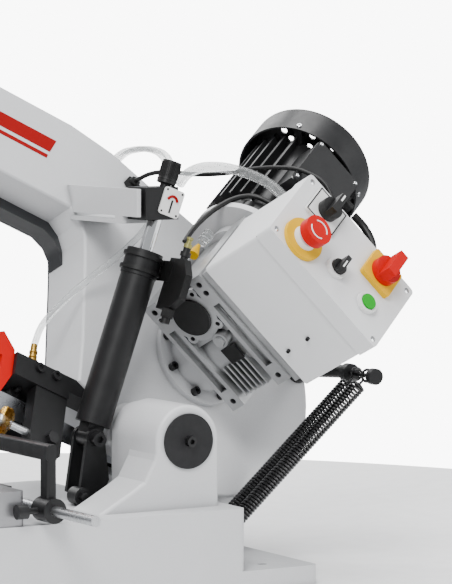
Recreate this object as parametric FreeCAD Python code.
import FreeCAD, Part
import math
import os

# Swing-down horizontal band saw, bench-top form, in millimetres.
# World frame: +X towards the motor, -Y towards the operator, +Z up.
# The origin is the centre of the four bench-bolt holes, on the underside of the bed.
# The bow is drawn raised; every bow part is drawn in the bow's own frame and then placed.

# ---------------------------------------------------------------- driving sizes
BED_LENGTH = 1000.0
BED_DEPTH = 380.0
BED_HEIGHT = 105.0
BED_WALL = 10.0
BOLT_SPACING_X = 880.0
BOLT_SPACING_Y = 300.0
BOLT_HOLE_R = 6.5
TABLE_HEIGHT = 43.0          # raised cutting table above the bed top
PIVOT_RISE = 85.0            # pivot axis above the bed top
PIVOT_X = 330.0              # pivot axis from the origin
PIVOT_Y = -150.0             # front face of the pivot casting
PIVOT_ARCH_R = 45.5
PIVOT_DEPTH = 126.0
ARCH_DEPTH = 100.0           # full-width part of the casting, before its slimmer neck
PIVOT_SHAFT_R = 15.0
BUSH_WALL = 4.0
FIT_GAP = 0.05               # radial running clearance

BOW_TILT = 25.9              # raised angle of the bow
BOW_CANT = 29.2              # backward lean of the wheel plane
WHEEL_PLANE_Y = 255.0        # wheel plane centre line behind the casting's front face
WHEEL_PLANE_Z = 114.0        # and above the pivot axis
WHEEL_R = 174.0
WHEEL_W = 28.0
DRIVE_X = 92.5               # drive wheel axis from the pivot axis along the bow
WHEEL_CENTRES = 965.0
BOW_FRONT = 40.0             # front face of the bow from the wheel plane
BOW_REAR = 40.0
BOW_WALL = 11.0
HOUSING_R = 196.0
BEAM_TOP = 264.0
THROAT_TOP = 134.0
THROAT_LEFT = -682.0         # leaves the idler wheel its tension travel
COVER_T = 4.0
BLADE_W = 27.0
BLADE_T = 1.1
BLADE_GAP = 0.3

GEAR_TURN = 27.4             # turn of the gearbox about the wheel axis
WORM_OFFSET = 70.0           # centre distance of the worm gearbox
WORM_PLANE = 153.0           # worm axis in front of the wheel plane
GEAR_HALF = 58.0
GEAR_REAR = 70.0
DISC_R = 68.0
DISC_FACE = 49.0
MOTOR_R = 68.0
COWL_R = 88.0
COWL_START = 264.0
COWL_END = 318.0

BOX_BACK = 223.0
BOX_BODY = 104.0
BOX_LID = 28.0
BOX_L0 = -116.0
BOX_L1 = 90.0
BOX_W0 = -70.0
BOX_W1 = 60.0

CYL_R = 23.0
CYL_PLANE = 130.0            # cylinder plane behind the casting's front face
ROD_R = 9.0
TOP_PIN_R = 4.5              # the upper pivot is left with clearance in the rod eye
SPRING_R = 11.0
SPRING_WIRE_R = 1.9
HOOK_R = 8.0
SPRING_PIN_R = 3.2           # thin pins leave the hooks the play they need over the travel

# ---------------------------------------------------------------- frames
Vec = FreeCAD.Vector
XAX = Vec(1, 0, 0)
YAX = Vec(0, 1, 0)
ZAX = Vec(0, 0, 1)


def frame(move, axis, angle):
    return FreeCAD.Placement(move, FreeCAD.Rotation(axis, angle))


PIVOT_Z = BED_HEIGHT + PIVOT_RISE
BASE = frame(Vec(PIVOT_X, PIVOT_Y, PIVOT_Z), XAX, 0)
ARM = BASE.multiply(frame(Vec(0, 0, 0), YAX, BOW_TILT))
BOW = ARM.multiply(frame(Vec(0, WHEEL_PLANE_Y, WHEEL_PLANE_Z), XAX, -BOW_CANT))
GEAR = BOW.multiply(frame(Vec(DRIVE_X, 0, 0), YAX, GEAR_TURN))


def box(x0, x1, y0, y1, z0, z1):
    return Part.makeBox(x1 - x0, y1 - y0, z1 - z0, Vec(x0, y0, z0))


def rod(p, q, r):
    a = Vec(*p)
    b = Vec(*q)
    return Part.makeCylinder(r, (b - a).Length, a, b - a)


def ring(p, q, r_out, r_in):
    return rod(p, q, r_out).cut(rod(p, q, r_in))


def plate_xz(points, y0, y1):
    face = Part.Face(Part.makePolygon([Vec(x, y0, z) for x, z in points + points[:1]]))
    return face.extrude(Vec(0, y1 - y0, 0))


def plate_xy(points, z0, z1):
    face = Part.Face(Part.makePolygon([Vec(x, y, z0) for x, y in points + points[:1]]))
    return face.extrude(Vec(0, 0, z1 - z0))


def plate_yz(points, x0, x1):
    face = Part.Face(Part.makePolygon([Vec(x0, y, z) for y, z in points + points[:1]]))
    return face.extrude(Vec(x1 - x0, 0, 0))


def round_box(x0, x1, y0, y1, z0, z1, r, axis):
    body = box(x0, x1, y0, y1, z0, z1)
    edges = [e for e in body.Edges if abs(e.tangentAt(0).dot(axis)) > 0.99]
    return body.makeFillet(r, edges)


def fuse(shapes):
    shape = shapes[0]
    if len(shapes) > 1:
        shape = shape.multiFuse(shapes[1:])
    return shape.removeSplitter()


def hex_prism(p, q, across):
    a = Vec(*p)
    b = Vec(*q)
    axis = b - a
    turn = FreeCAD.Rotation(ZAX, axis)
    r = across / math.sqrt(3.0)
    pts = []
    for k in range(7):
        angle = k * math.pi / 3
        pts.append(a + turn.multVec(Vec(r * math.cos(angle), r * math.sin(angle), 0)))
    return Part.Face(Part.makePolygon(pts)).extrude(axis)


def socket_screw(p, q, r):
    """Cap screw head from its seat p to its top q, with a hexagon socket."""
    a = Vec(*p)
    b = Vec(*q)
    mid = a + (b - a) * 0.45
    return rod(p, q, r).cut(hex_prism(tuple(mid), tuple(b + (b - a) * 0.1), r * 0.95))


def tube(points, r, report=None):
    """Straight runs joined by tangent arcs, each as large as its two runs allow."""
    pts = [Vec(*p) for p in points]
    edges = []
    radii = []
    start = pts[0]
    for k in range(1, len(pts) - 1):
        a = pts[k] - pts[k - 1]
        b = pts[k + 1] - pts[k]
        turn = a.getAngle(b)
        short = min(a.Length, b.Length)
        radius = 0.45 * short / math.tan(turn / 2.0)
        cut = 0.45 * short
        radii.append(round(radius, 1))
        p0 = pts[k] - a.normalize() * cut
        p1 = pts[k] + b.normalize() * cut
        middle = (p0 + p1) * 0.5
        inward = (middle - pts[k]).normalize()
        centre = pts[k] + inward * math.sqrt(radius * radius + cut * cut)
        edges.append(Part.LineSegment(start, p0).toShape())
        edges.append(Part.Arc(p0, centre - inward * radius, p1).toShape())
        start = p1
    edges.append(Part.LineSegment(start, pts[-1]).toShape())
    wire = Part.Wire(edges)
    axis = pts[1] - pts[0]
    profile = Part.Wire([Part.makeCircle(r, pts[0], axis)])
    shape = wire.makePipeShell([profile], True, False)
    if report:
        print(report, "length", round(wire.Length), "radii", radii)
    return shape


NODES = {}


def put(name, shape, place):
    shape = shape.copy()
    shape.Placement = place.multiply(shape.Placement)
    if name in NODES:
        NODES[name].append(shape)
    else:
        NODES[name] = [shape]


def solids(shapes):
    found = []
    for shape in shapes:
        found.extend(shape.Solids)
    return found


# ---------------------------------------------------------------- bed and base
BED_TOP = -PIVOT_RISE                    # heights below are from the pivot axis
BED_BOTTOM = BED_TOP - BED_HEIGHT
BED_LEFT = -PIVOT_X - BED_LENGTH / 2.0
BED_RIGHT = BED_LEFT + BED_LENGTH
BED_FRONT = -PIVOT_Y - BED_DEPTH / 2.0
BED_BACK = BED_FRONT + BED_DEPTH
SHELF_TOP = BED_BOTTOM + 25.0            # low shelf under the wheel housing
PEDESTAL_RIGHT = 62.0
TABLE_TOP = BED_TOP + TABLE_HEIGHT
TABLE_RIGHT = -250.0
SLOT_FRONT = 112.0                       # gap across the table for the blade and guides
SLOT_BACK = 240.0
VISE_Y = 312.0                           # vise screw
TSLOT_Y = 290.0                          # T-slot that keeps the moving jaw square
JAW_HALF = 50.0
JAW_MID = 290.0
ROD_X = -222.0                           # length-stop rod
ROD_Z = -66.0
ROD_FRONT = -165.0
STOP_ROD_R = 6.5
VISE_SCREW_R = 9.0
LOW_PIN = Vec(-72.0, CYL_PLANE, -4.0)    # lower pivot of the downfeed cylinder
TOP_PIN = Vec(34.0, CYL_PLANE, 292.0)    # upper pivot, bow raised
SPRING_LOW = Vec(96.0, 106.0, -148.5)    # spring pins, bow raised
SPRING_HIGH = Vec(332.0, 106.0, 58.7)
SPRING_PITCH_Y = 26.0


def make_bed():
    body = box(BED_LEFT, BED_RIGHT, BED_FRONT, BED_BACK, BED_BOTTOM, BED_TOP)
    body = body.cut(box(-30, BED_RIGHT + 1, PIVOT_DEPTH + 2, BED_BACK + 1, SHELF_TOP, BED_TOP + 1))
    body = body.cut(box(PEDESTAL_RIGHT, BED_RIGHT + 1, BED_FRONT - 1, BED_BACK + 1, SHELF_TOP, BED_TOP + 1))
    uprights = [e for e in body.Edges if e.Length > 20 and abs(e.tangentAt(0).z) > 0.99]
    body = body.makeFillet(9, uprights)
    inner = box(BED_LEFT + BED_WALL, -30 - BED_WALL, BED_FRONT + BED_WALL, BED_BACK - BED_WALL,
                BED_BOTTOM - 1, BED_TOP - BED_WALL)
    ribs = []
    for k in range(1, 4):
        x = BED_LEFT + k * (BED_LENGTH - 200) / 4.0
        ribs.append(box(x, x + 8, BED_FRONT, BED_BACK, BED_BOTTOM + 12, BED_TOP - BED_WALL))
    body = body.cut(inner.cut(fuse(ribs)))
    for sx in (-1, 1):
        for sy in (-1, 1):
            x = -PIVOT_X + sx * BOLT_SPACING_X / 2.0
            y = -PIVOT_Y + sy * BOLT_SPACING_Y / 2.0
            if sx < 0:
                body = body.fuse(rod((x, y, BED_BOTTOM), (x, y, BED_BOTTOM + 22), 22))
                body = body.fuse(rod((x, y, BED_BOTTOM + 21), (x, y, BED_TOP - 1), 15))
            body = body.cut(rod((x, y, BED_BOTTOM - 1), (x, y, BED_TOP + 1), BOLT_HOLE_R))
            if sx < 0:
                body = body.cut(rod((x, y, BED_BOTTOM + 22), (x, y, BED_TOP + 1), BOLT_HOLE_R + 4.5))
    put("bed", body.removeSplitter(), BASE)


def make_table():
    """Two ground table pads with the blade gap between them, and T-slots for the vise."""
    front = round_box(BED_LEFT + 15, TABLE_RIGHT, BED_FRONT + 4, SLOT_FRONT, BED_TOP, TABLE_TOP, 6, ZAX)
    back = round_box(BED_LEFT + 15, TABLE_RIGHT, SLOT_BACK, BED_BACK - 4, BED_TOP, TABLE_TOP, 6, ZAX)
    slot_x0 = BED_LEFT + 14
    slot_x1 = TABLE_RIGHT - 70
    slot_top = box(slot_x0, slot_x1, TSLOT_Y - 7, TSLOT_Y + 7, TABLE_TOP - 12, TABLE_TOP + 1)
    slot_low = box(slot_x0, slot_x1, TSLOT_Y - 14, TSLOT_Y + 14, TABLE_TOP - 24, TABLE_TOP - 11)
    back = back.cut(slot_top.fuse(slot_low))
    put("cutting_table", front, BASE)
    put("cutting_table", back, BASE)


def make_pivot_casting():
    r = PIVOT_ARCH_R
    foot = BED_TOP
    side = 0.78 * r
    neck = r - 5.5
    arch = fuse([box(-r, r, 0, ARCH_DEPTH, foot, 0), rod((0, 0, 0), (0, ARCH_DEPTH, 0), r),
                 box(-neck, neck, ARCH_DEPTH, PIVOT_DEPTH, foot, 0), rod((0, 0, 0), (0, PIVOT_DEPTH, 0), neck)])
    web = plate_xz([(-side, 24), (-r - 2, -22), (-62, -48), (-78, -58), (-127, foot), (0, foot), (0, 24)],
                   0, PIVOT_DEPTH * 0.55)
    body = fuse([arch, web])
    rims = [e for e in body.Edges if abs(e.BoundBox.YMin) < 0.01 and abs(e.BoundBox.YMax) < 0.01
            and e.BoundBox.ZMin > foot + 1]
    body = body.makeFillet(5, rims)
    bore = PIVOT_SHAFT_R + FIT_GAP + BUSH_WALL
    body = body.cut(rod((0, 14, 0), (0, PIVOT_DEPTH + 1, 0), bore))
    put("pivot_casting", body, BASE)
    length = (PIVOT_DEPTH - 20) / 2.0
    first = ring((0, 16, 0), (0, 16 + length, 0), bore, PIVOT_SHAFT_R + FIT_GAP)
    second = ring((0, PIVOT_DEPTH - length, 0), (0, PIVOT_DEPTH, 0), bore, PIVOT_SHAFT_R + FIT_GAP)
    put("pivot_bushes", Part.makeCompound([first, second]), BASE)
    put("pivot_cap", rod((0, -3.2, 0), (0, 0, 0), 35), BASE)
    put("base_bolts", socket_screw((0, -3.2, 0), (0, -11.5, 0), 6.6), BASE)


def make_cylinder_clevis():
    """Two steel cheeks and a foot that carry the lower pin of the cylinder."""
    pin = LOW_PIN
    y = pin.y
    outline = [(-12, 6), (12, 6), (19, -54), (4, -80.9), (-24, -70)]
    cheeks = []
    for y0 in (y - 20.5, y + 14.5):
        pts = [(pin.x + a, pin.z + b) for a, b in outline]
        cheek = plate_xz(pts, y0, y0 + 6).fuse(rod((pin.x, y0, pin.z), (pin.x, y0 + 6, pin.z), 13.5))
        cheeks.append(cheek.cut(rod((pin.x, y0 - 1, pin.z), (pin.x, y0 + 7, pin.z), 6.0)))
    foot = box(pin.x - 18, pin.x + 4, y - 20.5, y + 20.5, BED_TOP, BED_TOP + 12)
    put("base_brackets", fuse(cheeks + [foot]), BASE)
    bolt = rod((pin.x, y - 20.5, pin.z), (pin.x, y + 20.5, pin.z), 6.0)
    head = socket_screw((pin.x, y - 20.5, pin.z), (pin.x, y - 31.5, pin.z), 9.2)
    nut = hex_prism((pin.x, y + 20.5, pin.z), (pin.x, y + 28.5, pin.z), 16)
    put("base_bolts", fuse([bolt, head, nut]), BASE)
    boss_x = pin.x - 34
    boss = ring((boss_x, y - 48, BED_TOP + 12), (boss_x, y - 26, BED_TOP + 12), 11.5, 5)
    web = box(boss_x, pin.x, y - 48, y - 20.5, BED_TOP, BED_TOP + 8).cut(
        rod((boss_x, y - 49, BED_TOP + 12), (boss_x, y - 25, BED_TOP + 12), 11))
    put("base_brackets", fuse([boss, web]), BASE)
    put("base_bolts", hex_prism((boss_x, y - 54, BED_TOP + 12), (boss_x, y - 48, BED_TOP + 12), 11).fuse(
        rod((boss_x, y - 48, BED_TOP + 12), (boss_x, y - 26, BED_TOP + 12), 5)), BASE)


def make_vise():
    """Fixed jaws beside the blade, sliding jaw, screw with handwheel, and nut block."""
    jaw_top = TABLE_TOP + 150
    y0 = JAW_MID - JAW_HALF + 4
    y1 = JAW_MID + JAW_HALF - 6
    fixed_x = TABLE_RIGHT - 40
    fixed = fuse([box(fixed_x - 22, fixed_x, y0, y1, TABLE_TOP, jaw_top - 20),
                  box(fixed_x, fixed_x + 38, y0 + 8, y0 + 20, TABLE_TOP, TABLE_TOP + 90),
                  box(fixed_x, fixed_x + 38, y1 - 20, y1 - 8, TABLE_TOP, TABLE_TOP + 90)])
    put("fixed_jaws", fixed, BASE)
    front_jaw = round_box(fixed_x - 22, fixed_x - 4, 20, SLOT_FRONT - 4, TABLE_TOP, jaw_top, 5, XAX)
    put("fixed_jaws", front_jaw, BASE)
    face = TABLE_RIGHT - 340
    base_z = TABLE_TOP + FIT_GAP
    screw_z = TABLE_TOP + 17
    moving = fuse([box(face - 22, face, y0, y1, base_z, jaw_top - 20),
                   box(face - 110, face - 22, y0 + 10, y1, base_z, TABLE_TOP + 34),
                   plate_xz([(face - 22, TABLE_TOP + 30), (face - 90, TABLE_TOP + 30),
                             (face - 22, TABLE_TOP + 100)], JAW_MID - 7, JAW_MID + 7)])
    tongue = box(face - 100, face - 30, TSLOT_Y - 6.95, TSLOT_Y + 6.95, TABLE_TOP - 11.5, TABLE_TOP + 2)
    moving = moving.fuse(tongue)
    moving = moving.cut(rod((face - 111, VISE_Y, screw_z), (face - 40, VISE_Y, screw_z), VISE_SCREW_R + 0.3))
    put("moving_jaw", moving, BASE)
    nut_x = BED_LEFT + 16
    nut = box(nut_x, nut_x + 34, VISE_Y - 14, VISE_Y + 14, TABLE_TOP, TABLE_TOP + 34)
    nut = nut.cut(rod((nut_x - 1, VISE_Y, screw_z), (nut_x + 35, VISE_Y, screw_z), VISE_SCREW_R + FIT_GAP))
    put("base_brackets", nut, BASE)
    screw = rod((nut_x - 222, VISE_Y, screw_z), (face - 42, VISE_Y, screw_z), VISE_SCREW_R)
    put("vise_handwheel", screw, BASE)
    put("vise_handwheel", handwheel(50, 6.0, VISE_SCREW_R, 4),
        BASE.multiply(frame(Vec(nut_x - 208, VISE_Y, screw_z), YAX, -90)))


def handwheel(radius, rim_r, bore, spokes):
    """Spoked handwheel about +Z with its hub on the origin and a turning grip pin."""
    rim = Part.makeTorus(radius, rim_r)
    hub = ring((0, 0, -9), (0, 0, 9), bore + 8, bore)
    arms = []
    for k in range(spokes):
        a = 2 * math.pi * k / spokes
        c = math.cos(a)
        s = math.sin(a)
        arms.append(rod(((bore + 4) * c, (bore + 4) * s, 0), (radius * c, radius * s, 0), 4.2))
    grip = rod((radius, 0, 0), (radius, 0, 52), 7.5)
    return fuse([rim, hub, grip] + arms)


def make_length_stop():
    """Bar held in the bed front, with the swinging stop arm clamped on it."""
    rod_back = 118.0
    put("stop_rod", rod((ROD_X, ROD_FRONT, ROD_Z), (ROD_X, rod_back, ROD_Z), STOP_ROD_R), BASE)
    block = box(ROD_X - 14, ROD_X + 14, 80, rod_back, BED_TOP, ROD_Z + 14)
    block = block.cut(rod((ROD_X, 79, ROD_Z), (ROD_X, rod_back + 1, ROD_Z), STOP_ROD_R))
    put("base_brackets", block, BASE)
    y0 = -62.0
    boss = ring((ROD_X, y0, ROD_Z), (ROD_X, y0 + 34, ROD_Z), 15.5, STOP_ROD_R + FIT_GAP)
    leg = round_box(ROD_X - 7, ROD_X + 7, y0 + 8, y0 + 28, ROD_Z + 13, ROD_Z + 76, 4, ZAX)
    top = round_box(ROD_X - 7, ROD_X + 7, y0 + 8, y0 + 150, ROD_Z + 60, ROD_Z + 80, 4, YAX)
    pad = rod((ROD_X, y0 + 150, ROD_Z + 70), (ROD_X, y0 + 160, ROD_Z + 70), 8)
    bore = rod((ROD_X, y0 - 1, ROD_Z), (ROD_X, y0 + 35, ROD_Z), STOP_ROD_R + FIT_GAP)
    put("stop_arm", fuse([boss, leg, top, pad]).cut(bore), BASE)
    put("stop_arm", fuse([rod((ROD_X - 15.6, y0 + 17, ROD_Z), (ROD_X - 30, y0 + 17, ROD_Z), 4),
                          rod((ROD_X - 30, y0 + 17, ROD_Z), (ROD_X - 44, y0 + 17, ROD_Z), 9)]), BASE)


def make_spring_anchor():
    p = SPRING_LOW
    half = SPRING_PITCH_Y / 2.0
    post = box(p.x - 4, p.x + 4, p.y - 3, p.y + 3, SHELF_TOP + 4.5, p.z).fuse(
        box(p.x - 24, p.x + 24, p.y - 32, p.y + 32, SHELF_TOP, SHELF_TOP + 5))
    pin = rod((p.x, p.y - half - 9, p.z), (p.x, p.y + half + 9, p.z), SPRING_PIN_R)
    put("base_brackets", fuse([post, pin]), BASE)


# ---------------------------------------------------------------- bow
IDLER_X = DRIVE_X - WHEEL_CENTRES
BEAM_END = -700.0
THROAT_R_TOP = 26.0


def bow_outline(inset):
    """Closed wire of the bow's front face, moved inwards by the inset."""
    r = HOUSING_R
    left = Vec(IDLER_X - r, 0, 0)
    right = Vec(DRIVE_X + r, 0, 0)
    diag = r * math.sqrt(0.5)
    low_l = Vec(IDLER_X, 0, -r)
    low_r = Vec(DRIVE_X, 0, -r)
    p = [Vec(-770, 0, 235), Vec(BEAM_END, 0, BEAM_TOP), Vec(-150, 0, BEAM_TOP), Vec(-80, 0, 254),
         Vec(-5, 0, 231), Vec(DRIVE_X + 30, 0, r * 0.988)]
    edges = [Part.LineSegment(a, b).toShape() for a, b in zip(p, p[1:])]
    end = p[-1]
    edges.append(Part.Arc(end, Vec(DRIVE_X + diag, 0, diag), right).toShape())
    edges.append(Part.Arc(right, Vec(DRIVE_X + diag, 0, -diag), low_r).toShape())
    t = THROAT_R_TOP
    q = [low_r, Vec(-34, 0, -188), Vec(-38, 0, -143), Vec(-90, 0, -118), Vec(-92, 0, -56),
         Vec(-104, 0, 70), Vec(-108, 0, 100), Vec(-118, 0, 120), Vec(-136, 0, THROAT_TOP), Vec(THROAT_LEFT + 45 + t, 0, THROAT_TOP),
         Vec(THROAT_LEFT + 28, 0, THROAT_TOP - 14), Vec(THROAT_LEFT + 18, 0, 89), Vec(THROAT_LEFT, 0, -56),
         Vec(THROAT_LEFT, 0, -160), Vec(-750, 0, -r), low_l]
    edges += [Part.LineSegment(a, b).toShape() for a, b in zip(q, q[1:])]
    edges.append(Part.Arc(low_l, Vec(IDLER_X - diag, 0, -diag), left).toShape())
    start = Vec(IDLER_X, 0, r)
    edges.append(Part.Arc(left, Vec(IDLER_X - diag, 0, diag), start).toShape())
    edges.append(Part.LineSegment(start, p[0]).toShape())
    wire = Part.Wire(edges)
    if inset:
        wire = wire.makeOffset2D(-inset, join=1)
    return wire


def slab(wire, y0, y1):
    shape = wire.copy()
    shape.translate(Vec(0, y0, 0))
    return Part.Face(shape).extrude(Vec(0, y1 - y0, 0))


def make_bow_frame():
    outer = slab(bow_outline(0), -BOW_FRONT, BOW_REAR)
    front_edges = [e for e in outer.Edges if abs(e.BoundBox.YMin + BOW_FRONT) < 0.01
                   and abs(e.BoundBox.YMax + BOW_FRONT) < 0.01]
    outer = outer.makeFillet(4, front_edges)
    cavity = slab(bow_outline(BOW_WALL), -BOW_FRONT + BOW_WALL, BOW_REAR + 1)
    blade_gap = box(-790, 20, -BLADE_W / 2 - 4, BLADE_W / 2 + 4, -HOUSING_R - 1, -WHEEL_R + 30)
    hub = rod((0, PIVOT_DEPTH + 1.5, 0), (0, 165, 0), 34)
    hub.Placement = ARM
    cavity_placed = cavity.copy()
    cavity_placed.Placement = BOW
    blade_gap.Placement = BOW
    shell = outer.cut(cavity)
    shell.Placement = BOW
    shell = fuse([shell, hub])
    shell = shell.cut(cavity_placed).cut(blade_gap)
    bore = rod((0, PIVOT_DEPTH, 0), (0, 200, 0), PIVOT_SHAFT_R)
    bore.Placement = ARM
    shell = shell.cut(bore)
    holes = [rod((DRIVE_X, -BOW_FRONT - 1, 0), (DRIVE_X, -10, 0), 32),
             box(IDLER_X - 26, IDLER_X + 26, -BOW_FRONT - 1, -10, -17, 17)]
    for hole in holes:
        hole.Placement = BOW
        shell = shell.cut(hole)
    NODES["bow_frame"] = [shell]


def make_rear_cover():
    wire = bow_outline(0.5)
    cover = slab(wire, BOW_REAR, BOW_REAR + COVER_T)
    put("rear_cover", cover, BOW)
    spots = [(IDLER_X - 185, 0), (IDLER_X, -190.2), (IDLER_X, 190), (-560, 256), (-300, 256), (-120, 252),
             (DRIVE_X, -190.2), (DRIVE_X + 185, 30)]
    heads = [rod((x, BOW_REAR + COVER_T, z), (x, BOW_REAR + COVER_T + 5, z), 6.5) for x, z in spots]
    put("bow_screws", Part.makeCompound(heads), BOW)


def wheel(x, bore):
    rim = ring((x, -WHEEL_W / 2, 0), (x, WHEEL_W / 2, 0), WHEEL_R, WHEEL_R - 16)
    web = ring((x, -5, 0), (x, 5, 0), WHEEL_R - 14, bore)
    hub = ring((x, -13, 0), (x, 13, 0), 34, bore)
    body = fuse([rim, web, hub])
    for k in range(5):
        a = 2 * math.pi * (k + 0.5) / 5
        cx = x + 98 * math.cos(a)
        cz = 98 * math.sin(a)
        body = body.cut(rod((cx, -6, cz), (cx, 6, cz), 32))
    return body


def make_pivot_shaft():
    shaft = rod((0, 16.5, 0), (0, 160, 0), PIVOT_SHAFT_R)
    cavity = slab(bow_outline(BOW_WALL), -BOW_FRONT + BOW_WALL + 4, BOW_REAR + 1)
    cavity.Placement = ARM.inverse().multiply(BOW)
    put("pivot_shaft", shaft.cut(cavity), ARM)


def make_wheels():
    put("drive_wheel", wheel(DRIVE_X, 20), BOW)
    put("idler_wheel", wheel(IDLER_X, 16 + FIT_GAP), BOW)
    shaft = rod((DRIVE_X, 16, 0), (DRIVE_X, -WORM_PLANE + 22, 0), 20)
    nut = rod((DRIVE_X, 16, 0), (DRIVE_X, 22, 0), 15)
    gear = ring((DRIVE_X, -WORM_PLANE - 12, 0), (DRIVE_X, -WORM_PLANE + 12, 0), 50, 12)
    stub = rod((DRIVE_X, -WORM_PLANE + 23, 0), (DRIVE_X, -WORM_PLANE - 45, 0), 12)
    put("output_shaft", fuse([shaft, nut, stub]), BOW)
    put("output_shaft", gear, BOW)
    idler_shaft = fuse([rod((IDLER_X, 18, 0), (IDLER_X, -BOW_FRONT - 22, 0), 16),
                        rod((IDLER_X, 13.5, 0), (IDLER_X, 18, 0), 26)])
    put("tension_slide", idler_shaft, BOW)
    slide = box(IDLER_X - 48, IDLER_X + 48, -BOW_FRONT - 22, -BOW_FRONT - 0.4, -32, 32)
    slide = slide.cut(rod((IDLER_X, -BOW_FRONT - 23, 0), (IDLER_X, -BOW_FRONT, 0), 16))
    slide = slide.fuse(box(IDLER_X - 60, IDLER_X - 48, -BOW_FRONT - 20, -BOW_FRONT - 2, -12, 12))
    put("tension_slide", slide.removeSplitter(), BOW)
    guides = []
    for side in (-1, 1):
        z0 = 32.4 if side > 0 else -46.4
        guides.append(box(IDLER_X - 80, IDLER_X + 80, -BOW_FRONT - 24, -BOW_FRONT, z0, z0 + 14))
    put("slide_rails", Part.makeCompound(guides), BOW)
    end_x = IDLER_X - 128
    screw_y = -BOW_FRONT - 11
    bracket = box(end_x, end_x + 14, -BOW_FRONT - 24, -BOW_FRONT, -20, 20)
    bracket = bracket.cut(rod((end_x - 1, screw_y, 0), (end_x + 15, screw_y, 0), 8 + FIT_GAP))
    put("slide_rails", bracket, BOW)
    screw = rod((end_x - 102, screw_y, 0), (IDLER_X - 60.4, screw_y, 0), 8)
    put("tension_handwheel", screw, BOW)
    put("tension_handwheel", handwheel(48, 6, 8.0, 3),
        BOW.multiply(frame(Vec(end_x - 90, screw_y, 0), YAX, -90)))


def make_blade():
    """Endless band round both wheels; the cutting run is turned upright between the guides."""
    r0 = WHEEL_R + BLADE_GAP
    r1 = r0 + BLADE_T
    w = BLADE_W / 2.0
    parts = []
    right = ring((DRIVE_X, -w, 0), (DRIVE_X, w, 0), r1, r0)
    right = right.common(box(DRIVE_X, DRIVE_X + 400, -w, w, -400, 400))
    left = ring((IDLER_X, -w, 0), (IDLER_X, w, 0), r1, r0)
    left = left.common(box(IDLER_X - 400, IDLER_X, -w, w, -400, 400))
    parts.append(right)
    parts.append(left)
    parts.append(box(IDLER_X, DRIVE_X, -w, w, r0, r1))
    lean = 90.0 - BOW_CANT
    stations = [(DRIVE_X, 0), (DRIVE_X - 25, 0), (-110, lean), (-640, lean), (IDLER_X + 40, 0), (IDLER_X, 0)]
    mid = -(r0 + r1) / 2.0
    wires = []
    for x, turn in stations:
        a = math.radians(turn)
        c = math.cos(a)
        s = math.sin(a)
        pts = []
        for u, v in ((-w, -BLADE_T / 2), (w, -BLADE_T / 2), (w, BLADE_T / 2), (-w, BLADE_T / 2)):
            pts.append(Vec(x, u * c + v * s, mid - u * s + v * c))
        wires.append(Part.makePolygon(pts + pts[:1]))
    for first, second in zip(wires, wires[1:]):
        parts.append(Part.makeLoft([first, second], True, True))
    put("saw_blade", Part.makeCompound(parts), BOW)


# ---------------------------------------------------------------- gearbox and motor (gear frame)
WP = -WORM_PLANE


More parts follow.
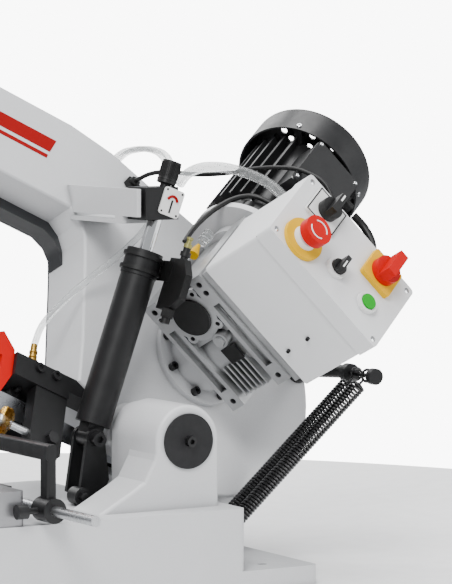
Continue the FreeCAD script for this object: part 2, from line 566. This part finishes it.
def make_gearbox():
    disc = rod((0, -BOW_FRONT, 0), (0, -DISC_FACE, 0), DISC_R)
    neck = rod((0, -DISC_FACE, 0), (0, WP + GEAR_HALF, 0), 50)
    disc = fuse([disc, neck]).cut(rod((0, -BOW_FRONT + 1, 0), (0, WP + GEAR_HALF - 1, 0), 20.5))
    put("gearbox_flange", disc, GEAR)
    bolts = []
    for k in range(8):
        a = math.radians(22.5 + 45 * k)
        x = 59 * math.cos(a)
        z = 59 * math.sin(a)
        bolts.append(socket_screw((x, -DISC_FACE, z), (x, -DISC_FACE - 8, z), 5.6))
    put("bow_screws", Part.makeCompound(bolts), GEAR)
    y0 = WP - GEAR_HALF
    y1 = WP + GEAR_HALF
    l0 = -WORM_OFFSET - 43
    l1 = 68.0
    drum = rod((0, y0 + 12, 0), (0, y1 - 12, 0), 62)
    worm_case = box(l0 + 8, -WORM_OFFSET + 42, WP - 42, WP + 42, -GEAR_REAR + 8, GEAR_REAR)
    cheeks = []
    for a, b in ((y0, y0 + 24), (y1 - 24, y1)):
        frame_plate = box(l0, l1, a, b, -GEAR_REAR, GEAR_REAR)
        mid = (a + b) / 2.0
        recess = box(l0 + 46, l1 - 30, mid - 6, mid + 6, -GEAR_REAR - 1, -GEAR_REAR + 9)
        frame_plate = frame_plate.cut(recess)
        for x in (l0 + 12, l0 + 26, l1 - 12):
            frame_plate = frame_plate.cut(rod((x, mid, -GEAR_REAR - 1), (x, mid, -GEAR_REAR + 14), 4.2))
        cheeks.append(frame_plate)
    case = fuse([drum, worm_case] + cheeks)
    case = case.cut(rod((0, y0 - 1, 0), (0, y1 + 1, 0), 52))
    case = case.fuse(ring((0, y0, 0), (0, y0 + 6, 0), 54, 13)).fuse(ring((0, y1 - 6, 0), (0, y1, 0), 54, 20.5))
    flange = rod((-WORM_OFFSET, WP, -GEAR_REAR), (-WORM_OFFSET, WP, -GEAR_REAR + 10), 37)
    case = case.fuse(flange)
    case = case.cut(rod((-WORM_OFFSET, WP, -GEAR_REAR - 1), (-WORM_OFFSET, WP, GEAR_REAR + 1), 17.5))
    for sx in (-1, 1):
        for sy in (-1, 1):
            x = -WORM_OFFSET + sx * 25.5
            y = WP + sy * 25.5
            case = case.fuse(rod((x, y, -GEAR_REAR), (x, y, -GEAR_REAR + 10), 7.5))
            case = case.cut(rod((x, y, -GEAR_REAR - 1), (x, y, -GEAR_REAR + 12), 3.3))
    fins = []
    for k in range(6):
        y = WP - 20 + 8.5 * k
        fins.append(box(12, 60, y, y + 2.5, -GEAR_REAR + 4, -36))
    case = fuse([case] + fins).cut(rod((0, y0 + 6.5, 0), (0, y1 - 6.5, 0), 52))
    put("gearbox_case", case, GEAR)
    cap = rod((-WORM_OFFSET, WP, -GEAR_REAR), (-WORM_OFFSET, WP, -GEAR_REAR - 3.5), 27)
    put("gearbox_caps", cap, GEAR)
    boss = rod((-24, WP - 12, -GEAR_REAR + 18), (-24, WP - 12, -GEAR_REAR - 4), 10.5)
    boss = boss.cut(case)
    put("gearbox_case", boss, GEAR)
    put("gearbox_case", hex_prism((-24, WP - 12, -GEAR_REAR - 4), (-24, WP - 12, -GEAR_REAR - 8), 13), GEAR)
    put("gearbox_caps", box(-11, 13, WP - 6 - 14, WP - 6 + 10, -GEAR_REAR + 1.6, -GEAR_REAR + 4), GEAR)


def make_motor():
    axis_x = -WORM_OFFSET
    z0 = GEAR_REAR
    adapter = fuse([rod((axis_x, WP, z0), (axis_x, WP, z0 + 12), 44),
                    rod((axis_x, WP, z0 + 12), (axis_x, WP, z0 + 22), 74)])
    adapter = adapter.cut(rod((axis_x, WP, z0 - 1), (axis_x, WP, z0 + 23), 18))
    put("gearbox_flange", adapter, GEAR)
    m0 = z0 + 22
    end = ring((axis_x, WP, m0), (axis_x, WP, m0 + 24), 66, 18)
    ears = []
    for k in range(4):
        a = math.radians(45 + 90 * k)
        ex = axis_x + 62 * math.cos(a)
        ey = WP + 62 * math.sin(a)
        ears.append(rod((ex, ey, m0), (ex, ey, m0 + 16), 9))
    shield = fuse([end] + ears).cut(rod((axis_x, WP, m0 - 1), (axis_x, WP, m0 + 25), 18))
    put("motor_body", shield, GEAR)
    body = rod((axis_x, WP, m0 + 24), (axis_x, WP, COWL_START + 6), MOTOR_R - 7)
    fins = []
    for k in range(28):
        a = math.radians(360.0 * k / 28 + 6)
        if abs(math.degrees(a) - 270) < 34:
            continue
        fin = box(MOTOR_R - 10, MOTOR_R + 7, -1.4, 1.4, m0 + 26, COWL_START - 2)
        fin.Placement = frame(Vec(axis_x, WP, 0), ZAX, math.degrees(a))
        fins.append(fin)
    body = fuse([body] + fins)
    body = body.cut(rod((axis_x, WP, m0 + 20), (axis_x, WP, COWL_START + 7), MOTOR_R - 14))
    body = body.fuse(ring((axis_x, WP, COWL_START), (axis_x, WP, COWL_START + 6), MOTOR_R - 12, 12))
    put("motor_body", body.removeSplitter(), GEAR)
    shaft = rod((axis_x, WP, z0 - 58), (axis_x, WP, COWL_START + 30), 11)
    worm = rod((axis_x, WP, -40), (axis_x, WP, 40), 17)
    rotor = rod((axis_x, WP, m0 + 50), (axis_x, WP, COWL_START - 40), 40)
    put("motor_shaft", fuse([shaft, worm, rotor]), GEAR)
    cowl = rod((axis_x, WP, COWL_START), (axis_x, WP, COWL_END), COWL_R)
    far = [e for e in cowl.Edges
           if abs(e.BoundBox.ZMin - COWL_END) < 0.01 and abs(e.BoundBox.ZMax - COWL_END) < 0.01]
    cowl = cowl.makeFillet(8, far)
    cowl = cowl.cut(rod((axis_x, WP, COWL_START - 1), (axis_x, WP, COWL_END - 3), COWL_R - 2.5))
    for r_mid in (26, 44, 60):
        count = int(r_mid / 5)
        for k in range(count):
            a = 2 * math.pi * k / count
            x = axis_x + r_mid * math.cos(a)
            y = WP + r_mid * math.sin(a)
            cowl = cowl.cut(rod((x, y, COWL_END - 4), (x, y, COWL_END + 1), 5))
    lugs = []
    for k in range(4):
        a = math.radians(45 + 90 * k)
        lug = box(MOTOR_R - 9, COWL_R - 2, -5, 5, COWL_START + 0.5, COWL_START + 6)
        lug.Placement = frame(Vec(axis_x, WP, 0), ZAX, math.degrees(a))
        lugs.append(lug)
    put("fan_cowl", fuse([cowl] + lugs).cut(
        rod((axis_x, WP, COWL_START - 1), (axis_x, WP, COWL_START + 7), MOTOR_R - 7)), GEAR)
    blades = [rod((axis_x, WP, COWL_START + 12), (axis_x, WP, COWL_START + 32), 18)]
    for k in range(8):
        blade = box(14, 66, -1.2, 1.2, COWL_START + 12, COWL_START + 34)
        blade.Placement = frame(Vec(axis_x, WP, 0), ZAX, 45.0 * k)
        blades.append(blade)
    fan = fuse(blades).cut(rod((axis_x, WP, COWL_START + 10), (axis_x, WP, COWL_START + 36), 11))
    put("cooling_fan", fan, GEAR)
    base_y = WP - MOTOR_R + 9
    lid_y = WP - 106
    tbox = fuse([box(-106, -30, lid_y + 5, base_y, 146, 232),
                 box(-98, -38, base_y - 8, base_y + 6, 152, 226)])
    tbox = tbox.cut(rod((axis_x, WP, 100), (axis_x, WP, 260), MOTOR_R - 7))
    put("terminal_box", tbox.removeSplitter(), GEAR)
    lid = round_box(-108, -28, lid_y, lid_y + 5, 144, 234, 6, YAX)
    put("terminal_box", lid, GEAR)
    gland = fuse([hex_prism((-30, lid_y + 26, 214), (-20, lid_y + 26, 214), 22),
                  rod((-20, lid_y + 26, 214), (-10, lid_y + 26, 214), 9)])
    put("cables", gland, GEAR)


# ---------------------------------------------------------------- control box (gear frame)
LID_BACK = -(BOX_BACK + BOX_BODY)
PANEL = LID_BACK - BOX_LID
ESTOP = (-72.0, -40.0)                   # panel items, from the gear frame's origin
SELECT = (-14.0, -27.0)
START = (45.5, -27.0)
MAIN = (38.0, 30.0)
SPEED = (-70.0, 28.0)
BEZEL_R = 14.8


def make_control_box():
    back = -BOX_BACK
    outer = round_box(BOX_L0 + 2, BOX_L1 - 2, LID_BACK, back, BOX_W0 + 2, BOX_W1 - 2, 5, YAX)
    inner = box(BOX_L0 + 5, BOX_L1 - 5, LID_BACK - 1, back - 3, BOX_W0 + 5, BOX_W1 - 5)
    put("control_box", outer.cut(inner), GEAR)
    lid = round_box(BOX_L0, BOX_L1, PANEL, LID_BACK, BOX_W0, BOX_W1, 6, YAX)
    lid = lid.cut(box(BOX_L0 + 4, BOX_L1 - 4, PANEL + 4, LID_BACK + 1, BOX_W0 + 4, BOX_W1 - 4))
    for x in (BOX_L0 + 9, BOX_L1 - 9):
        for z in (BOX_W0 + 9, BOX_W1 - 9):
            lid = lid.cut(rod((x, PANEL - 1, z), (x, PANEL + 3, z), 4))
    for x, z, r in ((ESTOP[0], ESTOP[1], 11.1), (SELECT[0], SELECT[1], 11.1), (START[0], START[1], 11.1),
                    (MAIN[0], MAIN[1], 7), (SPEED[0], SPEED[1], 5)):
        lid = lid.cut(rod((x, PANEL - 1, z), (x, PANEL + 5, z), r))
    put("control_box_lid", lid, GEAR)
    plate_back = GEAR_HALF + WORM_PLANE
    put("control_box_bracket", box(BOX_L0 + 6, BOX_L1 - 14, back, -plate_back, BOX_W0 + 4, BOX_W1 - 10), GEAR)
    screws = [socket_screw((x, y, BOX_W0 + 2), (x, y, BOX_W0 - 2), 2.6)
              for x, y in ((34.5, -279), (35.5, -240))]
    put("bow_screws", Part.makeCompound(screws), GEAR)


def make_controls():
    x, z = ESTOP
    collar = ring((x, PANEL - 6, z), (x, PANEL, z), 29, 11)
    put("estop_collar", collar, GEAR)
    head = fuse([rod((x, PANEL - 34, z), (x, PANEL - 20, z), 20),
                 rod((x, PANEL - 22, z), (x, PANEL + 14, z), 10.5)])
    put("estop_button", head, GEAR)
    x, z = SELECT
    put("panel_bezels", ring((x, PANEL - 6, z), (x, PANEL, z), BEZEL_R, 11), GEAR)
    knob = fuse([rod((x, PANEL - 10, z), (x, PANEL + 14, z), 10.5),
                 box(x - 3.5, x + 3.5, PANEL - 22, PANEL - 9, z - 12, z + 12)])
    put("selector_knob", knob, GEAR)
    x, z = START
    put("panel_bezels", ring((x, PANEL - 5.5, z), (x, PANEL, z), BEZEL_R, 11), GEAR)
    put("start_button", rod((x, PANEL - 8, z), (x, PANEL + 14, z), 10.5), GEAR)
    x, z = MAIN
    face = round_box(x - 25, x + 25, PANEL - 7, PANEL, z - 25, z + 25, 4, YAX)
    put("main_switch_plate", face.cut(rod((x, PANEL - 8, z), (x, PANEL + 1, z), 7.1)), GEAR)
    knob = fuse([rod((x, PANEL - 20, z), (x, PANEL - 7.4, z), 19), rod((x, PANEL - 20, z), (x, PANEL + 14, z), 6.7),
                 box(x - 7, x + 7, PANEL - 38, PANEL - 19, z - 21, z + 21)])
    put("main_switch_knob", knob, GEAR)
    x, z = SPEED
    face = round_box(x - 25, x + 25, PANEL - 5, PANEL, z - 24, z + 24, 5, YAX)
    put("speed_switch_plate", face.cut(rod((x, PANEL - 6, z), (x, PANEL + 1, z), 5.1)), GEAR)
    knob = fuse([rod((x, PANEL - 18, z), (x, PANEL - 5.4, z), 15), rod((x, PANEL - 18, z), (x, PANEL + 14, z), 4.8),
                 box(x - 4.5, x + 4.5, PANEL - 30, PANEL - 17, z - 15, z + 19)])
    put("speed_switch_knob", knob, GEAR)


# ---------------------------------------------------------------- blade guides (bow frame)
BLADE_LINE = -(WHEEL_R + BLADE_GAP + BLADE_T / 2.0)
BRUSH_X = -186.0
BRUSH_Z = -217.0


def make_right_guide():
    block = plate_xz([(-186, -117), (-48, -117), (-48, -139), (-100, -139), (-100, -150), (-186, -150)], -36, -5)
    lip = box(-186, -100, -36, 20, -150, -141)
    put("right_guide", fuse([block, lip]), BOW)
    front = box(-150, -101, -34, -15, -236, -150.05)
    rear = box(-170, -120, 15.5, 25, -206, -150.05)
    put("right_guide", Part.makeCompound([front, rear]), BOW)
    heads = [socket_screw((x, -36, -126), (x, -41, -126), 6.5) for x in (-150, -124)]
    heads.append(socket_screw((-58, -36, -128), (-58, -41, -128), 6.5))
    put("bow_screws", Part.makeCompound(heads), BOW)
    guard = plate_xz([(-232, -108), (-206, -92), (-186.2, -112), (-186.2, -150), (-204, -190), (-218, -186)],
                     -30, -12)
    guard = guard.cut(box(-214, -205, -31, -11, -150, -128))
    put("blade_guard", guard, BOW)
    barb = fuse([rod((-152, -20, -117), (-152, -20, -108), 7), rod((-152, -20, -108), (-152, -20, -84), 4.4),
                 rod((-152, -20, -104), (-152, -20, -101), 5.6), rod((-152, -20, -97), (-152, -20, -94), 5.6)])
    put("coolant_barb", barb, BOW)
    bearing_z = BLADE_LINE + BLADE_W / 2.0 + 9
    back_roller = ring((-162, -5, bearing_z), (-162, 5, bearing_z), 8, 3)
    put("right_guide", back_roller.fuse(rod((-162, -15, bearing_z), (-162, 6, bearing_z), 3)), BOW)


def make_brush():
    """Chip brush on its own spindle, in front of the blade."""
    spindle = rod((BRUSH_X + 3, -25, BRUSH_Z), (-150, -25, BRUSH_Z), 5)
    wheel_part = rod((BRUSH_X - 4, -25, BRUSH_Z), (BRUSH_X + 4, -25, BRUSH_Z), 19.5)
    hub = rod((BRUSH_X - 8, -25, BRUSH_Z), (BRUSH_X + 9, -25, BRUSH_Z), 8)
    spindle = spindle.cut(box(-152, -140, -40, -10, -240, -200))
    put("wire_brush", fuse([spindle, wheel_part, hub]), BOW)
    put("bow_screws", hex_prism((-118, -34, BRUSH_Z), (-118, -41, BRUSH_Z), 15), BOW)


def make_left_guide():
    front = -BOW_FRONT
    rail = box(-652, -330, front - 8, front, 150, 182)
    put("slide_rails", rail, BOW)
    arm = box(-560, -520, front - 26, front - 8.4, -150, 192)
    upper = box(-560, -520, front - 8.5, front - 0.6, 182.4, 192)
    block = box(-590, -492, front - 26, -6, -150, -132)
    body = fuse([arm, upper, block]).cut(box(-600, -480, front - 8.4, front + 1, -131.9, 182.4))
    put("left_guide_arm", body, BOW)
    cheek = box(-590, -492, -34, -15, -205, -150.05)
    put("left_guide_arm", cheek, BOW)
    clamp = [socket_screw((x, front - 26, 166), (x, front - 34, 166), 7) for x in (-551, -529)]
    put("left_guide_arm", Part.makeCompound(clamp), BOW)


# ---------------------------------------------------------------- downfeed cylinder
CYL_AXIS = TOP_PIN - LOW_PIN
CYL_SPAN = CYL_AXIS.Length
CYL = BASE.multiply(FreeCAD.Placement(LOW_PIN, FreeCAD.Rotation(ZAX, CYL_AXIS)))
BARREL_TOP = 251.0


def make_cylinder():
    barrel = fuse([rod((0, 0, 18), (0, 0, BARREL_TOP - 34), CYL_R),
                   rod((0, 0, BARREL_TOP - 33), (0, 0, BARREL_TOP), CYL_R + 1)])
    barrel = fuse([barrel, rod((0, 0, BARREL_TOP - 34.5), (0, 0, BARREL_TOP - 32.5), CYL_R - 0.6)])
    barrel = barrel.cut(rod((0, 0, 90), (0, 0, BARREL_TOP + 1), ROD_R + FIT_GAP))
    along_pin = CYL.inverse().multiply(BASE.multiply(frame(LOW_PIN, XAX, 0)))
    eye = rod((0, -14, 0), (0, 14, 0), 12)
    bore = rod((0, -24, 0), (0, 24, 0), 6.0 + FIT_GAP)
    eye.Placement = along_pin
    bore.Placement = along_pin
    neck = box(-11, 11, -13, 13, 2, 19)
    put("cylinder_barrel", fuse([barrel, eye, neck]).cut(bore), CYL)
    top = CYL_SPAN
    bar = rod((0, 0, 130), (0, 0, top - 12), ROD_R)
    along_pin = CYL.inverse().multiply(BASE.multiply(frame(TOP_PIN, XAX, 0)))
    eye_top = rod((0, -11, 0), (0, 11, 0), 13.5)
    bore = rod((0, -14, 0), (0, 14, 0), TOP_PIN_R + 2)
    eye_top.Placement = along_pin
    bore.Placement = along_pin
    put("piston_rod", fuse([bar, eye_top]).cut(bore), CYL)
    z0 = BARREL_TOP - 58
    near = -70.0                 # the switch plate stands forward of the barrel
    far = -20.0
    band = [ring((0, 0, z), (0, 0, z + 5), CYL_R + 4, CYL_R + 1.05) for z in (z0 + 30, z0 + 48)]
    strap = [box(CYL_R + 1.6, CYL_R + 6, -5, 3, z, z + 5) for z in (z0 + 30, z0 + 48)]
    post = box(CYL_R + 3, CYL_R + 6, -32, 3, z0 + 28, z0 + 55)
    switch = plate_yz([(far, z0 - 8), (near + 22, z0 - 8), (near, z0 + 8), (near, z0 + 40), (near + 16, z0 + 60),
                       (far, z0 + 60)], CYL_R + 4.5, CYL_R + 15)
    x = CYL_R + 9.5
    middle = (near + far) / 2.0
    fitting = fuse([rod((x, middle, z0 + 59), (x, middle, z0 + 76), 5),
                    rod((x, middle, z0 + 64), (x, middle, z0 + 70), 7)])
    gland = fuse([hex_prism((x, middle, z0 - 18), (x, middle, z0 - 7), 16),
                  rod((x, middle, z0 - 26), (x, middle, z0 - 18), 6)])
    put("limit_switch", fuse(band + strap + [post, switch, fitting, gland]), CYL)


def bow_front_trim():
    """Solid that fills the bow's outline, to trim what stands on its front face."""
    solid = slab(bow_outline(0), -BOW_FRONT, BOW_REAR)
    solid.Placement = BASE.inverse().multiply(BOW)
    return solid


def make_cylinder_bracket():
    p = TOP_PIN
    pin_gap = 12.0
    block = box(p.x - 34, p.x + 14, p.y - 24, p.y + 24, p.z - 18, p.z + 24)
    block = block.cut(box(p.x - 19, p.x + 15, p.y - pin_gap, p.y + pin_gap, p.z - 19, p.z + 16))
    block = block.cut(rod((p.x, p.y - 25, p.z), (p.x, p.y + 25, p.z), TOP_PIN_R))
    knob_base = Vec(p.x + 2, p.y - 10, p.z + 24)
    tilt = FreeCAD.Placement(knob_base, FreeCAD.Rotation(ZAX, CYL_AXIS))
    boss = rod((0, 0, -4), (0, 0, 4), 7)
    boss.Placement = tilt
    put("valve_block", block.fuse(boss), BASE)
    put("bow_screws", rod((p.x, p.y - 24, p.z), (p.x, p.y + 24, p.z), TOP_PIN_R), BASE)
    floor = box(p.x - 44, p.x + 14, p.y + 24.2, p.y + 215, p.z - 24, p.z - 18.2)
    wall = box(p.x - 44, p.x - 38, p.y - 18, p.y + 215, p.z - 14, p.z + 22)
    shelf = box(p.x - 44, p.x - 38, p.y + 20, p.y + 40, p.z - 24, p.z - 10)
    back = box(p.x - 44, p.x + 14, p.y + 24.2, p.y + 32, p.z - 24, p.z + 22)
    bracket = fuse([floor, wall, shelf, back])
    bracket = bracket.cut(box(p.x - 34.2, p.x + 15, p.y - 25, p.y + 24.2, p.z - 25, p.z + 25))
    bracket = bracket.cut(bow_front_trim())
    pieces = sorted(bracket.Solids, key=lambda s: s.CenterOfMass.y)
    put("cylinder_bracket", pieces[0], BASE)
    put("feed_valve_knob", rod((0, 0, 4.2), (0, 0, 34), 12.5), BASE.multiply(tilt))
    scale = round_box(-15, 15, -2.5, 0, -18, 18, 4, YAX)
    put("feed_scale_plate", scale, BASE.multiply(frame(Vec(p.x + 3, p.y - 24, p.z + 4), YAX, 20)))


# ---------------------------------------------------------------- springs
SPRING_AXIS = SPRING_HIGH - SPRING_LOW
SPRING_SPAN = SPRING_AXIS.Length
SPRING_FRAME = BASE.multiply(FreeCAD.Placement(SPRING_LOW, FreeCAD.Rotation(ZAX, SPRING_AXIS)))
COIL_END = 20.0


def make_springs():
    coils = []
    lower = []
    upper = []
    for side in (-1, 1):
        y = side * SPRING_PITCH_Y / 2.0
        coils.append(ring((0, y, COIL_END), (0, y, SPRING_SPAN - COIL_END), SPRING_R,
                          SPRING_R - 2 * SPRING_WIRE_R))
        for z, group in ((0, lower), (SPRING_SPAN, upper)):
            loop = Part.makeTorus(HOOK_R, SPRING_WIRE_R, Vec(0, y, z), YAX)
            inward = 1 if z == 0 else -1
            shank = rod((0, y, z + inward * HOOK_R), (0, y, z + inward * (COIL_END - 0.2)), SPRING_WIRE_R)
            end_r = SPRING_R - 1 if z == 0 else SPRING_R - 2 * SPRING_WIRE_R - 0.4
            end = rod((0, y, z + inward * (COIL_END - 2.2)), (0, y, z + inward * (COIL_END - 0.1)), end_r)
            group.append(fuse([loop, shank, end]))
    put("spring_coils", Part.makeCompound(coils), SPRING_FRAME)
    put("spring_coils", Part.makeCompound(lower), SPRING_FRAME)
    put("spring_upper_hooks", Part.makeCompound(upper), SPRING_FRAME)
    p = SPRING_HIGH
    half = SPRING_PITCH_Y / 2.0
    pin = rod((p.x, p.y - half - 16, p.z), (p.x, p.y + half + 16, p.z), SPRING_PIN_R)
    boss = rod((p.x, p.y - half - 22, p.z), (p.x, p.y - half - 12, p.z), 11)
    boss2 = rod((p.x, p.y + half + 12, p.z), (p.x, p.y + half + 24, p.z), 13)
    root = BOW.multVec(Vec(262, -BOW_FRONT, 62))
    root = BASE.inverse().multVec(root)
    reach = rod((p.x + 2, p.y + half + 15, p.z + 2), tuple(root), 9)
    foot = rod((262, -BOW_FRONT, 62), (262, -BOW_FRONT - 8, 62), 20)
    foot.Placement = BASE.inverse().multiply(BOW)
    bridge = rod((p.x + 18, p.y - half - 14, p.z + 9), (p.x + 18, p.y + half + 15, p.z + 9), 7)
    arm = fuse([pin, boss, boss2, reach, foot, bridge]).cut(bow_front_trim())
    arm = max(arm.Solids, key=lambda s: s.Volume)
    put("spring_arm", arm, BASE)


# ---------------------------------------------------------------- cables and hoses (bow frame)
# Each route is chosen by hand: x along the bow, y behind the wheel plane, z up the wheel plane.
SIGNAL_ROUTE = [(-45, -52, 219), (-38, -72, 224), (-27, -101, 219), (-10, -131, 206), (15, -168, 201),
                (42, -215, 202), (70, -258, 193), (96, -284, 172), (109, -292, 140), (110, -292, 108),
                (107, -290, 70)]
HOSE_ROUTE = [(-52, 0, 268), (-44, -14, 286), (-33, -44, 282), (-30, -76, 262), (-34, -104, 232),
              (-43, -122, 202), (-49, -132, 170)]
GUIDE_HOSE_ROUTE = [(-62, -126, 112), (-66, -112, 92), (-76, -92, 70), (-92, -76, 44), (-110, -60, 18),
                    (-126, -46, -8), (-139, -33, -32), (-149, -24, -56), (-152, -20, -84)]
BUNDLE_ROUTE = [(-36, -142, 172), (-28, -146, 192), (-12, -156, 205), (8, -174, 206), (30, -198, 196),
                (50, -222, 178), (66, -242, 150), (76, -254, 118), (80, -262, 76)]
MOTOR_ROUTE = [(190, -233, 190), (207, -236, 179), (219, -240, 160), (220, -244, 136), (208, -250, 112),
               (190, -256, 88), (166, -262, 42)]
SWITCH_ROUTE = [(-37, -168, 64), (-28, -172, 88), (-14, -176, 112), (2, -182, 134), (20, -192, 152),
                (40, -206, 160), (60, -222, 148), (76, -238, 120), (88, -250, 74)]


def make_cables():
    gland = fuse([hex_prism((-45, -BOW_FRONT, 216), (-45, -BOW_FRONT - 7, 218), 20),
                  rod((-45, -BOW_FRONT - 6, 217.5), (-45, -52, 219), 7)]).cut(slab(bow_outline(0), -BOW_FRONT, 0))
    put("cables", gland, BOW)
    put("cables", tube(SIGNAL_ROUTE, 3.0, "signal cable"), BOW)
    pair = [tube([(x + d, y, z + 4.6 * (d > 0)) for x, y, z in HOSE_ROUTE], 4.0, "coolant hose")
            for d in (-4.5, 4.5)]
    put("clear_hoses", Part.makeCompound(pair), BOW)
    put("clear_hoses", tube(GUIDE_HOSE_ROUTE, 4.5, "guide hose"), BOW)
    put("clear_hoses", tube(BUNDLE_ROUTE, 7.0, "sleeved bundle"), BOW)
    put("cables", tube(MOTOR_ROUTE, 5.5, "motor cable"), BOW)
    put("cables", tube(SWITCH_ROUTE, 3.5, "limit switch cable"), BOW)


def trim(name, others):
    """Cut each solid of a node back to the nodes it is fastened against; its main piece is kept."""
    tools = []
    for other in others:
        tools.extend(NODES[other])
    kept = []
    for solid in solids(NODES[name]):
        pieces = solid.cut(tools).Solids
        if pieces:
            kept.append(max(pieces, key=lambda piece: piece.Volume))
    NODES[name] = kept


def main():
    os.makedirs("parts", exist_ok=True)
    make_bed()
    make_table()
    make_pivot_casting()
    make_cylinder_clevis()
    make_vise()
    make_length_stop()
    make_spring_anchor()
    make_bow_frame()
    make_rear_cover()
    make_pivot_shaft()
    make_wheels()
    make_blade()
    make_gearbox()
    make_motor()
    make_control_box()
    make_controls()
    make_right_guide()
    make_brush()
    make_left_guide()
    make_cylinder()
    make_cylinder_bracket()
    make_springs()
    make_cables()
    trim("right_guide", ["bow_frame"])
    trim("bow_screws", ["bow_frame", "right_guide"])
    trim("cables", ["clear_hoses", "gearbox_flange", "terminal_box", "motor_body"])
    trim("clear_hoses", ["coolant_barb"])
    for name, shapes in NODES.items():
        found = solids(shapes)
        shape = found[0] if len(found) == 1 else Part.makeCompound(found)
        if not shape.isValid():
            print("not valid", name)
        shape.exportStep(os.path.join("parts", name + ".step"))
        b = shape.BoundBox
        print(name, len(found), "solids", [round(v, 1) for v in (b.XMin, b.XMax, b.YMin, b.YMax, b.ZMin, b.ZMax)])
    print(len(NODES), "nodes")


main()
